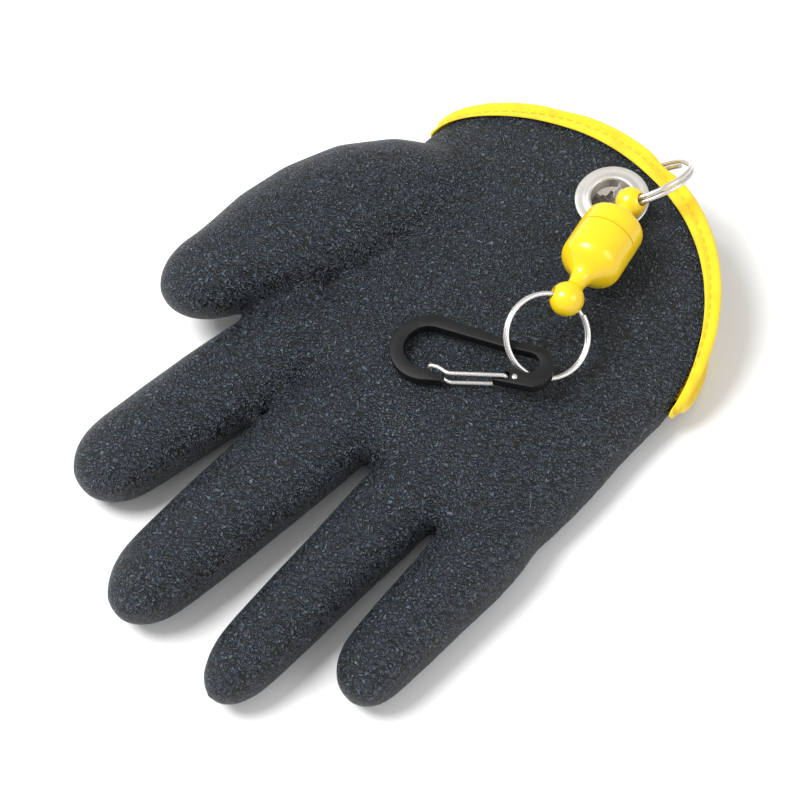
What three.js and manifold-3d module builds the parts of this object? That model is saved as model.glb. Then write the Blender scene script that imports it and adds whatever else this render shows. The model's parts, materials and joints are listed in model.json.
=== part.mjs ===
import * as THREE from 'three';
import { mergeVertices } from 'three/addons/utils/BufferGeometryUtils.js';
import Module from 'manifold-3d';

// A right-hand latex fishing glove lying palm up, in millimetres. +Y runs from the cuff to the
// fingertips, +X towards the thumb and +Z up. The origin is where the back of the hand rests.

// The glove's main form
const palmWidth = 110;
const palmLength = 84;
const palmDepth = 20.5;
const cuffWidth = 121;
const cuffDepth = 27.5;
const cuffScoop = 39;
const wall = 1.8;
const hemDrop = 5;
const mouthOverrun = 6;

// Fingers and thumb
// Lengths run from the palm's end of each finger's table of sections.
const fingerWidth = 30;
const fingerDepth = 20.5;
const indexLength = 83;
const middleLength = 96;
const ringLength = 90;
const littleLength = 65;
const thumbLength = 101.5;
const thumbWidth = 43;
const thumbDepth = 27;
const thumbLift = 3.5;

// Bound edge of the cuff
const bindingWidth = 7;
const bindingLeg = 1.2;
const bindingEdge = 1.5;
const bindingPuff = 0.25;

// Eyelet in the cuff
const grommetDiameter = 22.5;
const grommetHole = 12.6;
const grommetSheet = 0.8;
const grommetLip = 1.2;
const grommetCurl = 0.4;
const grommetSlack = 0.2;
const grommetInset = 18.7;

// Split rings
const splitRingDiameter = 25.5;
const ringWire = 1.3;
const coilGap = 0.3;
const coilCrossing = 40;
const cuffRingTilt = 44;
const cuffRingTurn = 200;
const clipRingStart = 40;

// Magnetic connector
const connectorHeading = 113;
const magnetDiameter = 18.5;
const ballSpacing = 42;
const upperBall = 9;
const lowerBall = 10;
const neckDiameter = 5;
const seamShare = 0.6;
const upperCapLength = 7.6;
const lowerCapLength = 8.8;
const bellLength = 7.6;
const ballHole = 3.8;

// Carabiner
const clipLength = 47.7;
const clipBigEnd = 22;
const clipSmallEnd = 14.4;
const clipBand = 4;
const clipThickness = 3.2;
const gateWire = 1.2;
const gateAngle = 25;
const gateOpening = 13.5;
const slotDepth = 1.8;
const slotAngle = 16;
const clipHeading = 36.4;
const clipPitch = -3.1;
const clipRoll = 6;
const clipRingTurn = -132.5;
const clipRingTilt = 36.4;
const clipRingX = 0.485;
const clipRingY = -0.075;
const clipRingAt = -166.7;
const lowerRingAngle = 32;

// Clearances
const gap = 0.3;

// The palm is read at rows along its length: 0 at the sides of the cuff, 1 at the knuckles.
// cuff blends from the palm's width to the cuff's, width and shift are shares of that width and
// of the palm's, and rise blends the top from the palm's depth to the cuff's.
const palmRows = [
  { along: -0.6, cuff: 1.0, width: 1.0, shift: 0.113, rise: 1.05 },
  { along: -0.25, cuff: 1.0, width: 1.0, shift: 0.113, rise: 0.62 },
  { along: 0.0, cuff: 1.0, width: 0.995, shift: 0.111, rise: 0.18 },
  { along: 0.28, cuff: 0.5, width: 1.02, shift: 0.076, rise: 0.14 },
  { along: 0.53, cuff: 0.25, width: 1.012, shift: 0.015, rise: 0.16 },
  { along: 0.76, cuff: 0.1, width: 0.995, shift: -0.028, rise: 0.12 },
  { along: 0.9, cuff: 0.0, width: 0.995, shift: -0.05, rise: 0.0 },
  { along: 1.1, cuff: 0.0, width: 0.98, shift: -0.05, rise: -0.02 },
];

// One row for each finger. x and y place its root as shares of the palm's width and length from
// the origin, lean is the tip's sideways run as a share of the length, and the widths at the root,
// the middle and the tip are shares of fingerWidth.
const fingerRows = [
  { length: indexLength, x: 0.35, y: 0.228, lean: -0.036, root: 0.92, middle: 0.95, tip: 0.86, depth: 1 },
  { length: middleLength, x: 0.088, y: 0.252, lean: -0.135, root: 1.06, middle: 0.98, tip: 0.83, depth: 1 },
  { length: ringLength, x: -0.195, y: 0.252, lean: -0.2, root: 0.87, middle: 0.75, tip: 0.66, depth: 0.92 },
  { length: littleLength, x: -0.442, y: 0.204, lean: -0.197, root: 0.9, middle: 0.79, tip: 0.69, depth: 0.88 },
];

// Sections of a finger from inside the palm to where its tip starts to round off.
const fingerSections = [
  { along: -0.1, root: 1.0, middle: 0.0, size: 0.8 },
  { along: 0.04, root: 1.0, middle: 0.0, size: 0.93 },
  { along: 0.2, root: 0.6, middle: 0.4, size: 1.0 },
  { along: 0.42, root: 0.0, middle: 1.0, size: 1.0 },
  { along: 0.62, root: 0.0, middle: 0.6, size: 1.0 },
  { along: 0.8, root: 0.0, middle: 0.0, size: 1.0 },
];

// Sections of the thumb from inside the heel of the palm. x is the centre as a share of the palm's
// width, width and depth are shares of the thumb's, and lift is its rise as a share of thumbLift.
const thumbSections = [
  { along: 0.0, x: 0.455, width: 0.68, depth: 0.74, lift: 0.1 },
  { along: 0.12, x: 0.52, width: 0.85, depth: 0.87, lift: 0.3 },
  { along: 0.28, x: 0.562, width: 0.95, depth: 0.96, lift: 0.6 },
  { along: 0.46, x: 0.57, width: 1.0, depth: 1.0, lift: 1.0 },
  { along: 0.63, x: 0.581, width: 0.89, depth: 0.96, lift: 1.5 },
  { along: 0.8, x: 0.595, width: 0.64, depth: 0.87, lift: 2.0 },
];
const thumbStart = -0.62;
const thumbTipX = 0.61;
const tipSteps = [0.35, 0.62, 0.83, 0.95];

// Shares and powers that shape the palm's sections, its scooped hem and its rounded knuckle end
const cuffY = -0.643 * palmLength;
const scoopPower = 1.13;
const backScoop = 0.7;
const hemSkew = 0.4;
const archPower = 2 / 2.2;
const flatPower = 2 / 4;
const sink = 0.35;
const waist = 0.36;
const domeStart = 0.72;
const domeEnd = 1.03;
const domeRound = 2.4;
const domeNarrow = 0.3;
const palmSteps = [0.2, 0.4, 0.6, 0.8, 1];
const domeSteps = [0.3, 0.55, 0.75, 0.9];
const hemEase = 2.6 * bindingWidth;

// Facets
const palmSides = 40;
const fingerSides = 16;
const thumbSides = 18;
const ringSteps = 30;
const roundSides = 22;
const wireSides = 6;
const holeSides = 12;

const wasm = await Module();
wasm.setup();

function solidOf(geometry) {
  const bare = geometry.clone();
  bare.deleteAttribute('normal');
  bare.deleteAttribute('uv');
  const merged = mergeVertices(bare, 1e-4);
  return new wasm.Manifold(new wasm.Mesh({
    numProp: 3,
    vertProperties: new Float32Array(merged.attributes.position.array),
    triVerts: new Uint32Array(merged.index.array),
  }));
}

function geometryOf(solid) {
  const mesh = solid.getMesh();
  const geometry = new THREE.BufferGeometry();
  geometry.setAttribute('position', new THREE.BufferAttribute(new Float32Array(mesh.vertProperties), 3));
  geometry.setIndex(new THREE.BufferAttribute(new Uint32Array(mesh.triVerts), 1));
  geometry.computeVertexNormals();
  return geometry;
}

const rad = THREE.MathUtils.degToRad;
const lerp = THREE.MathUtils.lerp;
const vec = (x, y, z) => new THREE.Vector3(x, y, z);

// Signed power, for rounded-rectangle sections.
function bend(value, power) {
  return Math.sign(value) * Math.abs(value) ** power;
}

// Smooth reading of one column of a table at a place along it.
function read(rows, column, along) {
  let k = 0;
  while (k < rows.length - 2 && along > rows[k + 1].along) k += 1;
  const at = (i) => rows[Math.min(Math.max(i, 0), rows.length - 1)];
  const [p0, p1, p2, p3] = [at(k - 1), at(k), at(k + 1), at(k + 2)];
  const span = p2.along - p1.along;
  const t = THREE.MathUtils.clamp((along - p1.along) / span, 0, 1);
  const slope = (a, b) => (b.along === a.along ? 0 : (b[column] - a[column]) / (b.along - a.along) * span);
  const m1 = slope(p0, p2);
  const m2 = slope(p1, p3);
  const [t2, t3] = [t * t, t * t * t];
  return (2 * t3 - 3 * t2 + 1) * p1[column] + (t3 - 2 * t2 + t) * m1
    + (3 * t2 - 2 * t3) * p2[column] + (t3 - t2) * m2;
}

// A closed body over rings of points, run in order and closed with a point at each end.
function loft(rings, start, end) {
  const sides = rings[0].length;
  const points = [start, ...rings.flat(), end];
  const last = points.length - 1;
  const faces = [];
  for (let i = 0; i < sides; i += 1) {
    const j = (i + 1) % sides;
    faces.push(0, 1 + i, 1 + j);
    faces.push(last, last - sides + j, last - sides + i);
    for (let k = 0; k < rings.length - 1; k += 1) {
      const a = 1 + k * sides;
      const b = a + sides;
      faces.push(a + i, b + i, a + j, a + j, b + i, b + j);
    }
  }
  return bodyOf(points, faces);
}

// A closed ring-shaped body over sections that follow a loop.
function loop(sections) {
  const sides = sections[0].length;
  const faces = [];
  sections.forEach((section, k) => {
    const a = k * sides;
    const b = ((k + 1) % sections.length) * sides;
    for (let i = 0; i < sides; i += 1) {
      const j = (i + 1) % sides;
      faces.push(a + i, b + i, a + j, a + j, b + i, b + j);
    }
  });
  return bodyOf(sections.flat(), faces);
}

function bodyOf(points, faces) {
  const geometry = new THREE.BufferGeometry();
  const numbers = points.flatMap((point) => point.toArray());
  geometry.setAttribute('position', new THREE.Float32BufferAttribute(numbers, 3));
  geometry.setIndex(faces);
  return geometry;
}

// The palm's surface. Its upper half is an arch, and its lower half is flattened where it rests. Near
// the hem the underside rises, so that the folded binding rests level with the back of the hand.
const hemLift = bindingLeg + gap + bindingPuff;

function palmAt(y) {
  const along = (y - cuffY) / palmLength;
  const width = lerp(palmWidth, cuffWidth, read(palmRows, 'cuff', along)) * read(palmRows, 'width', along);
  return {
    x: read(palmRows, 'shift', along) * palmWidth,
    halfWidth: width / 2,
    top: lerp(palmDepth, cuffDepth, read(palmRows, 'rise', along)),
  };
}

function hemY(u) {
  const side = Math.cos(u);
  const scoop = cuffScoop * (Math.sin(u) > 0 ? 1 : backScoop) * (1 - hemSkew * side * (1 + side) / 2);
  return cuffY - hemDrop * side - scoop * Math.abs(Math.sin(u)) ** scoopPower;
}

function palmPoint(u, y, inset = 0, shrink = 1, narrow = 1) {
  const palm = palmAt(y);
  const fromHem = y - hemY(u);
  const lift = hemLift * THREE.MathUtils.smoothstep(-fromHem, -hemEase, -bindingWidth);
  const middle = palm.top * waist + lift;
  const rise = palm.top - inset - middle;
  const drop = middle - lift - inset;
  const sine = Math.sin(u);
  const z = sine > 0
    ? middle + rise * shrink * bend(sine, archPower)
    : middle + Math.max((drop + sink) * shrink * bend(sine, flatPower), -drop);
  const power = sine > 0 ? archPower : flatPower;
  return vec(palm.x + (palm.halfWidth - inset) * narrow * bend(Math.cos(u), power), y, z);
}

// Height of the palm's upper surface under a point.
function palmTop(x, y) {
  const palm = palmAt(y);
  const across = Math.min(Math.abs((x - palm.x) / palm.halfWidth), 1);
  const middle = palm.top * waist;
  return middle + (palm.top - middle) * (1 - across ** (2 / archPower)) ** (archPower / 2);
}

const palmAngles = Array.from({ length: palmSides }, (_, i) => (2 * Math.PI * i) / palmSides);

// Stations near the hem are distances from it, each with an extra inset.
function palmBody(inset, hemStations, beyond) {
  const domeY = cuffY + domeStart * palmLength;
  const endY = cuffY + domeEnd * palmLength - inset;
  const rings = hemStations.map(([s, extra]) => palmAngles
    .map((u) => palmPoint(u, hemY(u) + s, inset + extra)));
  const hemEnd = hemStations.at(-1)[0];
  for (const t of palmSteps) {
    rings.push(palmAngles.map((u) => palmPoint(u, lerp(hemY(u) + hemEnd, domeY, t), inset)));
  }
  for (const t of domeSteps) {
    const shrink = (1 - t ** domeRound) ** (1 / domeRound);
    const y = lerp(domeY, endY, t);
    rings.push(palmAngles.map((u) => palmPoint(u, y, inset, shrink, lerp(1, shrink, domeNarrow))));
  }
  const end = palmAt(endY);
  const deepest = hemY(Math.PI / 2);
  const mouth = palmAt(deepest);
  const start = vec(mouth.x, deepest - beyond, mouth.top / 2);
  return loft(rings, start, vec(end.x, endY, end.top * waist));
}

// A finger or thumb section across Y.
function tubeRing(sides, centre, halfWidth, halfDepth) {
  return Array.from({ length: sides }, (_, i) => {
    const u = (2 * Math.PI * (i + 0.5)) / sides;
    return vec(
      centre.x + halfWidth * bend(Math.cos(u), archPower),
      centre.y,
      centre.z + halfDepth * bend(Math.sin(u), archPower),
    );
  });
}

// Keeps a section off the surface that the glove rests on.
function flatten(ring, floor) {
  ring.forEach((point) => point.setZ(Math.max(point.z, floor)));
  return ring;
}

function fingerBody(row, inset) {
  const depth = fingerDepth * row.depth;
  const root = vec(row.x * palmWidth, row.y * palmLength, depth / 2 - sink);
  const place = (along) => {
    const run = row.length * along;
    return vec(root.x + row.lean * run, root.y + run, root.z);
  };
  const widthAt = (section) => fingerWidth * section.size
    * (row.root * section.root + row.middle * section.middle + row.tip * (1 - section.root - section.middle));
  const rings = fingerSections.map((section) => {
    const centre = place(section.along);
    const halfDepth = (depth * Math.sqrt(section.size)) / 2 - inset;
    return flatten(tubeRing(fingerSides, centre, widthAt(section) / 2 - inset, halfDepth), inset);
  });
  const shoulder = fingerSections.at(-1);
  const round = (1 - shoulder.along) * row.length - inset;
  const halfWidth = widthAt(shoulder) / 2 - inset;
  const halfDepth = depth / 2 - inset;
  for (const t of tipSteps) {
    const shrink = Math.sqrt(1 - t * t);
    const centre = place(shoulder.along + (round * t) / row.length);
    rings.push(flatten(tubeRing(fingerSides, centre, halfWidth * shrink, halfDepth * shrink), inset));
  }
  return loft(rings, place(fingerSections[0].along), place(shoulder.along + round / row.length));
}

function thumbBody(inset) {
  const startY = thumbStart * palmLength;
  const place = (section) => vec(
    section.x * palmWidth,
    startY + section.along * thumbLength,
    (thumbDepth * section.depth) / 2 + thumbLift * section.lift,
  );
  const rings = thumbSections.map((section) => {
    const centre = place(section);
    const halfWidth = (thumbWidth * section.width) / 2 - inset;
    return tubeRing(thumbSides, centre, halfWidth, (thumbDepth * section.depth) / 2 - inset);
  });
  const shoulder = thumbSections.at(-1);
  const from = place(shoulder);
  const tip = vec(thumbTipX * palmWidth, startY + thumbLength - inset, from.z);
  const halfWidth = (thumbWidth * shoulder.width) / 2 - inset;
  const halfDepth = (thumbDepth * shoulder.depth) / 2 - inset;
  for (const t of tipSteps) {
    const shrink = Math.sqrt(1 - t * t);
    rings.push(tubeRing(thumbSides, from.clone().lerp(tip, t), halfWidth * shrink, halfDepth * shrink));
  }
  return loft(rings, place(thumbSections[0]), tip);
}

function gloveForm(inset, hemStations, beyond) {
  const bodies = [palmBody(inset, hemStations, beyond), thumbBody(inset)];
  fingerRows.forEach((row) => bodies.push(fingerBody(row, inset)));
  return bodies.map(solidOf).reduce((whole, body) => whole.add(body));
}

// The outer form ends in a face across the hem, and the inner one runs out past it.
const hemReach = bindingWidth - bindingEdge;
const nearHem = [[0, 0], [hemReach / 2, 0], [hemReach, 0]];
const outerForm = gloveForm(0, [[0, 2 * wall], ...nearHem], 0);
const innerForm = gloveForm(wall, [[-mouthOverrun, 0], ...nearHem], mouthOverrun);

// Directions in the glove's frame: a heading turns from +X towards +Y.
function direction(heading, climb) {
  const flat = Math.cos(rad(climb));
  return vec(flat * Math.cos(rad(heading)), flat * Math.sin(rad(heading)), Math.sin(rad(climb)));
}

function frameAt(origin, x, y, z) {
  return new THREE.Matrix4().makeBasis(x, y, z).setPosition(origin);
}

// Signed volume, to turn a revolved body's faces outward.
function outward(geometry) {
  const point = geometry.attributes.position;
  const index = geometry.index;
  let volume = 0;
  const [a, b, c] = [vec(), vec(), vec()];
  for (let i = 0; i < index.count; i += 3) {
    a.fromBufferAttribute(point, index.getX(i));
    b.fromBufferAttribute(point, index.getX(i + 1));
    c.fromBufferAttribute(point, index.getX(i + 2));
    volume += a.dot(b.cross(c));
  }
  if (volume < 0) {
    for (let i = 0; i < index.count; i += 3) {
      const first = index.getX(i);
      index.setX(i, index.getX(i + 1));
      index.setX(i + 1, first);
    }
  }
  return geometry;
}

// A revolved body about local Z from pairs of radius and height.
function turned(pairs, sides) {
  const profile = pairs.map(([radius, height]) => new THREE.Vector2(radius, height));
  return outward(new THREE.LatheGeometry(profile, sides).rotateX(Math.PI / 2));
}

// Eyelet, seated on the palm's upper layer near the hem.
const grommetX = palmAt(hemY(Math.PI / 2)).x - 0.04 * grommetInset;
const grommetY = hemY(Math.PI / 2) + grommetInset;
const grommetTube = grommetHole / 2 + grommetSheet;
const probe = grommetDiameter / 3;

function palmNormal(x, y) {
  const across = (palmTop(x + probe, y) - palmTop(x - probe, y)) / (2 * probe);
  const up = (palmTop(x, y + probe) - palmTop(x, y - probe)) / (2 * probe);
  return vec(-across, -up, 1).normalize();
}

const grommetAxis = palmNormal(grommetX, grommetY);
const grommetFrame = (() => {
  const x = vec(1, 0, 0).addScaledVector(grommetAxis, -grommetAxis.x).normalize();
  const seat = vec(grommetX, grommetY, palmTop(grommetX, grommetY));
  return frameAt(seat, x, grommetAxis.clone().cross(x), grommetAxis);
})();

function grommetGeometry() {
  const hole = grommetHole / 2;
  const rim = grommetDiameter / 2;
  const flange = rim - grommetTube;
  const back = -wall - gap - grommetSlack;
  const curl = grommetTube + grommetCurl;
  return turned([
    [hole, back - grommetSheet],
    [curl, back - grommetSheet],
    [curl, back],
    [grommetTube, back],
    [grommetTube, gap],
    [rim - 0.05 * flange, gap],
    [rim, gap + 0.35 * grommetSheet],
    [rim - 0.12 * flange, gap + grommetSheet],
    [grommetTube + 0.4 * flange, gap + grommetSheet],
    [grommetTube + 0.21 * flange, gap + grommetLip],
    [hole + 0.6 * grommetSheet, gap + grommetLip],
    [hole, gap + 0.6 * grommetLip],
    [hole, back - grommetSheet],
  ], roundSides).applyMatrix4(grommetFrame);
}

function shellGeometry() {
  const radius = grommetTube + gap;
  const cutter = new THREE.CylinderGeometry(radius, radius, 6 * wall, roundSides).rotateX(Math.PI / 2);
  const hole = solidOf(cutter.applyMatrix4(grommetFrame));
  return geometryOf(outerForm.subtract(innerForm).subtract(hole));
}

// Folded edge round the cuff: an outer and an inner leg joined past the hem by a puffed fold.
function bindingGeometry() {
  const inner = -wall - gap;
  const section = [
    [hemReach, gap],
    [hemReach, gap + bindingLeg],
    [hemReach / 2, gap + bindingLeg + 0.6 * bindingPuff],
    [0, gap + bindingLeg + bindingPuff],
    [-0.7 * bindingEdge, gap + 0.6 * bindingLeg],
    [-bindingEdge, -wall / 2],
    [-0.7 * bindingEdge, inner - 0.6 * bindingLeg],
    [0, inner - bindingLeg - bindingPuff],
    [hemReach / 2, inner - bindingLeg - 0.6 * bindingPuff],
    [hemReach, inner - bindingLeg],
    [hemReach, inner],
    [hemReach / 2, inner],
    [-gap, inner],
    [-gap, gap],
    [hemReach / 2, gap],
  ];
  return outward(loop(palmAngles.map((u) => section.map(([s, out]) => palmPoint(u, hemY(u) + s, -out)))));
}

// A split ring in its own plane: two coils of wire side by side, joined by one crossing.
const ringRadius = (splitRingDiameter - ringWire) / 2;
const coilPitch = ringWire + coilGap;
const crossing = rad(coilCrossing);

class SplitRing extends THREE.Curve {
  constructor(start) {
    super();
    this.start = start;
  }

  getPoint(t) {
    const turn = t * (4 * Math.PI - crossing);
    const across = THREE.MathUtils.smoothstep(turn, 2 * Math.PI - crossing, 2 * Math.PI) - 0.5;
    const angle = this.start + turn;
    return vec(ringRadius * Math.cos(angle), ringRadius * Math.sin(angle), across * coilPitch);
  }
}

function splitRingGeometry(start, frame) {
  const corners = Array.from({ length: wireSides }, (_, i) => {
    const angle = (2 * Math.PI * i) / wireSides;
    return new THREE.Vector2((ringWire / 2) * Math.cos(angle), (ringWire / 2) * Math.sin(angle));
  });
  const settings = { steps: 2 * ringSteps, extrudePath: new SplitRing(rad(start)), bevelEnabled: false };
  return outward(joined(new THREE.ExtrudeGeometry(new THREE.Shape(corners), settings))).applyMatrix4(frame);
}

function joined(geometry) {
  geometry.deleteAttribute('normal');
  geometry.deleteAttribute('uv');
  return mergeVertices(geometry, 1e-4);
}

// Cuff ring: down through the eyelet, under the cloth and back over the hem's outer edge.
const hemCrossingX = grommetX - 0.13 * grommetInset;
const holeCrossing = vec(
  grommetX,
  grommetY - 0.27 * grommetHole / 2,
  palmTop(grommetX, grommetY) - wall / 2,
);
const hemCrossing = vec(
  hemCrossingX,
  hemY(Math.PI / 2) - bindingEdge - gap - 2 * ringWire,
  palmTop(hemCrossingX, hemY(Math.PI / 2)) - wall / 2,
);

const cuffRing = (() => {
  const chord = holeCrossing.clone().sub(hemCrossing);
  const half = chord.length() / 2;
  const along = chord.clone().normalize();
  const side = along.clone().cross(vec(0, 0, 1)).normalize().negate();
  const rise = side.clone().applyAxisAngle(along, rad(cuffRingTilt));
  const centre = hemCrossing.clone().add(holeCrossing).multiplyScalar(0.5);
  centre.addScaledVector(rise, Math.sqrt(ringRadius ** 2 - half ** 2));
  return { centre, x: along, y: rise, axis: along.clone().cross(rise) };
})();

// Point of a ring at an angle, and the way its wire runs there.
function ringPoint(ring, angle) {
  return ring.centre.clone()
    .addScaledVector(ring.x, ringRadius * Math.cos(angle))
    .addScaledVector(ring.y, ringRadius * Math.sin(angle));
}

function ringTangent(ring, angle) {
  return ring.x.clone().multiplyScalar(-Math.sin(angle)).addScaledVector(ring.y, Math.cos(angle));
}

function ringFrame(ring) {
  return frameAt(ring.centre, ring.x, ring.y, ring.axis);
}

// The surface that the loose hardware lies on: the palm, with the eyelet standing on it.
function seatTop(x, y) {
  const onGrommet = Math.hypot(x - grommetX, y - grommetY) < grommetDiameter / 2;
  return palmTop(x, y) + (onGrommet ? grommetLip : 0);
}

// The smallest height of some points over that surface.
function clearance(points) {
  return Math.min(...points.map((point) => point.z - seatTop(point.x, point.y)));
}

// The angle at which a piece, let down from above, first comes to lie on the surface.
function settle(poseAt, low, high) {
  let [down, up] = [low, high];
  for (let i = 0; i < 40; i += 1) {
    const middle = (down + up) / 2;
    if (clearance(poseAt(middle)) > gap) up = middle;
    else down = middle;
  }
  return up;
}

// Connector profiles run from the upper ball's centre to the lower ball's.
const seamAt = ballSpacing * (1 - seamShare);
const magnetRadius = magnetDiameter / 2;
const neckRadius = neckDiameter / 2;

function ballArc(radius, centre, from, to, steps) {
  return Array.from({ length: steps + 1 }, (_, i) => {
    const angle = lerp(from, to, i / steps);
    return [Math.max(radius * Math.cos(angle), 0), centre + radius * Math.sin(angle)];
  });
}

function upperHalfProfile() {
  const radius = upperBall / 2;
  const shoulder = seamAt - upperCapLength;
  return [
    ...ballArc(radius, 0, -Math.PI / 2, Math.acos(neckRadius / radius), 6),
    [1.04 * neckRadius, lerp(radius, shoulder, 0.75)],
    [1.4 * neckRadius, lerp(radius, shoulder, 0.94)],
    [0.66 * magnetRadius, shoulder],
    [0.87 * magnetRadius, shoulder + 0.07 * upperCapLength],
    [0.97 * magnetRadius, shoulder + 0.22 * upperCapLength],
    [magnetRadius, shoulder + 0.42 * upperCapLength],
    [magnetRadius, seamAt - gap / 2],
    [0, seamAt - gap / 2],
  ];
}

function lowerHalfProfile() {
  const radius = lowerBall / 2;
  const bell = seamAt + lowerCapLength;
  return [
    [0, seamAt + gap / 2],
    [magnetRadius, seamAt + gap / 2],
    [magnetRadius, bell],
    [0.96 * magnetRadius, bell + 0.2 * bellLength],
    [0.85 * magnetRadius, bell + 0.4 * bellLength],
    [0.67 * magnetRadius, bell + 0.6 * bellLength],
    [0.47 * magnetRadius, bell + 0.79 * bellLength],
    [1.2 * neckRadius, bell + bellLength],
    [1.04 * neckRadius, lerp(bell + bellLength, ballSpacing - radius, 0.6)],
    ...ballArc(radius, ballSpacing, -Math.acos((1.04 * neckRadius) / radius), Math.PI / 2, 6),
  ];
}

const upperAngle = (() => {
  const axis = direction(connectorHeading, 0);
  return Math.atan2(axis.dot(cuffRing.y), axis.dot(cuffRing.x));
})();
const upperCentre = ringPoint(cuffRing, upperAngle);

const connectorClimb = settle((climb) => {
  const axis = direction(connectorHeading, climb);
  const level = direction(connectorHeading - 90, 0);
  const up = level.clone().cross(axis);
  const profile = [...upperHalfProfile(), ...lowerHalfProfile()];
  const body = profile.filter(([, at]) => at > upperBall);
  return body.flatMap(([radius, at]) => [-60, -30, -10, 10, 30, 60]
    .map((turn) => upperCentre.clone().addScaledVector(axis, at)
      .addScaledVector(level, radius * Math.sin(rad(turn)))
      .addScaledVector(up, -radius * Math.cos(rad(turn)))));
}, -30, 30);
const connectorAxis = direction(connectorHeading, connectorClimb);
const lowerCentre = upperCentre.clone().addScaledVector(connectorAxis, ballSpacing);

const connectorFrame = (() => {
  const x = direction(connectorHeading - 90, 0);
  return frameAt(upperCentre, x, connectorAxis.clone().cross(x), connectorAxis);
})();

// A ball's cross hole follows the wire that runs through it.
function holeThrough(ring, angle) {
  const radius = ballHole / 2;
  const y = ringTangent(ring, angle);
  const x = ring.axis.clone().cross(y).normalize();
  const bow = lowerBall ** 2 / (16 * ringRadius);
  const centre = ringPoint(ring, angle).lerp(ring.centre, bow / ringRadius);
  const cutter = new THREE.CylinderGeometry(radius, radius, 2 * lowerBall, holeSides);
  return solidOf(cutter.applyMatrix4(frameAt(centre, x, y, x.clone().cross(y))));
}

function magnetGeometry(profile, ring, angle) {
  const body = solidOf(turned(profile, roundSides).applyMatrix4(connectorFrame));
  return geometryOf(body.subtract(holeThrough(ring, angle)));
}

// Carabiner in its own frame: the small end's centre is the origin, +X runs to the big end, +Y to
// the gate's side, and the plate lies about Z = 0.
const bigRadius = clipBigEnd / 2;
const smallRadius = clipSmallEnd / 2;
const bigX = clipLength - bigRadius - smallRadius;
const loopRadius = smallRadius - 0.96 * clipBand;
const noseEnd = bigX - 0.63 * bigRadius;
const armEnd = noseEnd - gateOpening;
const pivot = vec(0.39 * smallRadius, smallRadius - 0.7 * clipBand, 0);
const slotRadius = 2 * gateWire;

function clipOutline() {
  const inner = bigRadius - clipBand;
  const shape = new THREE.Shape();
  const armTop = 0.92 * smallRadius;
  shape.moveTo(noseEnd, 0.93 * bigRadius);
  shape.absarc(bigX, 0, bigRadius, rad(102), rad(-98), true);
  shape.lineTo(1.22 * smallRadius, -1.035 * smallRadius);
  shape.absarc(0, 0, smallRadius, rad(-80), rad(-248), true);
  shape.lineTo(armEnd - 0.08 * clipBand, armTop);
  shape.lineTo(armEnd, armTop - 0.18 * clipBand);
  shape.lineTo(armEnd - 0.9 * clipBand, armTop - 1.06 * clipBand);
  shape.absarc(0.15 * loopRadius, -0.34 * loopRadius, loopRadius, rad(62), rad(272), false);
  shape.lineTo(1.17 * smallRadius, -0.66 * smallRadius);
  shape.absarc(bigX, 0, inner, rad(-98), rad(84), false);
  shape.lineTo(noseEnd, 0.745 * bigRadius);
  return shape;
}

// Wire gate: up through the pivot hole, along under the plate, round the nose's inner side and back
// over the plate to the slot.
function gatePath() {
  const level = clipThickness / 2 + gap + gateWire / 2;
  const heel = vec(slotRadius, 0, 0).applyAxisAngle(vec(0, 0, 1), rad(slotAngle)).add(pivot);
  const knee = { x: noseEnd - gateWire, y: 0.72 * bigRadius };
  const inside = { x: noseEnd + 0.2 * bigRadius, y: 0.585 * bigRadius };
  const tip = { x: noseEnd + 0.43 * bigRadius, y: 0.585 * bigRadius };
  const turn = 0.7 * gateWire;
  return [
    vec(pivot.x, pivot.y, clipThickness / 2),
    vec(pivot.x, pivot.y, -level + turn),
    vec(pivot.x + turn, pivot.y, -level),
    vec(knee.x, knee.y, -level),
    vec(inside.x, inside.y, -level),
    vec(tip.x - turn, tip.y, -level),
    vec(tip.x, tip.y, -level + turn),
    vec(tip.x, tip.y, level - turn),
    vec(tip.x - turn, tip.y, level),
    vec(inside.x, inside.y, level),
    vec(knee.x, knee.y, level),
    vec(heel.x + turn, heel.y, level),
    vec(heel.x, heel.y, level - turn),
    vec(heel.x, heel.y, clipThickness / 2 - slotDepth + gap),
  ];
}

// A point of the gate when it is pushed open by an angle.
function turnGate(point, angle) {
  return point.clone().sub(pivot).applyAxisAngle(vec(0, 0, 1), -rad(angle)).add(pivot);
}

// A round wire through points, mitred at each of them.
function wire(points, radius, sides) {
  let across = vec(1, 0, 0);
  const sections = points.map((point, i) => {
    const before = point.clone().sub(points[Math.max(i - 1, 0)]);
    const after = points[Math.min(i + 1, points.length - 1)].clone().sub(point);
    if (i === 0) before.copy(after);
    if (i === points.length - 1) after.copy(before);
    before.normalize();
    after.normalize();
    const along = before.clone().add(after).normalize();
    const stretch = 1 / Math.max(along.dot(before), 0.5);
    const fold = after.clone().sub(before);
    across = across.addScaledVector(along, -across.dot(along)).normalize();
    const up = along.clone().cross(across);
    return Array.from({ length: sides }, (_, k) => {
      const angle = (2 * Math.PI * k) / sides;
      const offset = across.clone().multiplyScalar(radius * Math.cos(angle))
        .addScaledVector(up, radius * Math.sin(angle));
      if (fold.lengthSq() > 1e-6) {
        fold.normalize();
        offset.addScaledVector(fold, offset.dot(fold) * (stretch - 1));
      }
      return offset.add(point);
    });
  });
  return outward(loft(sections, points[0], points.at(-1)));
}

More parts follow.
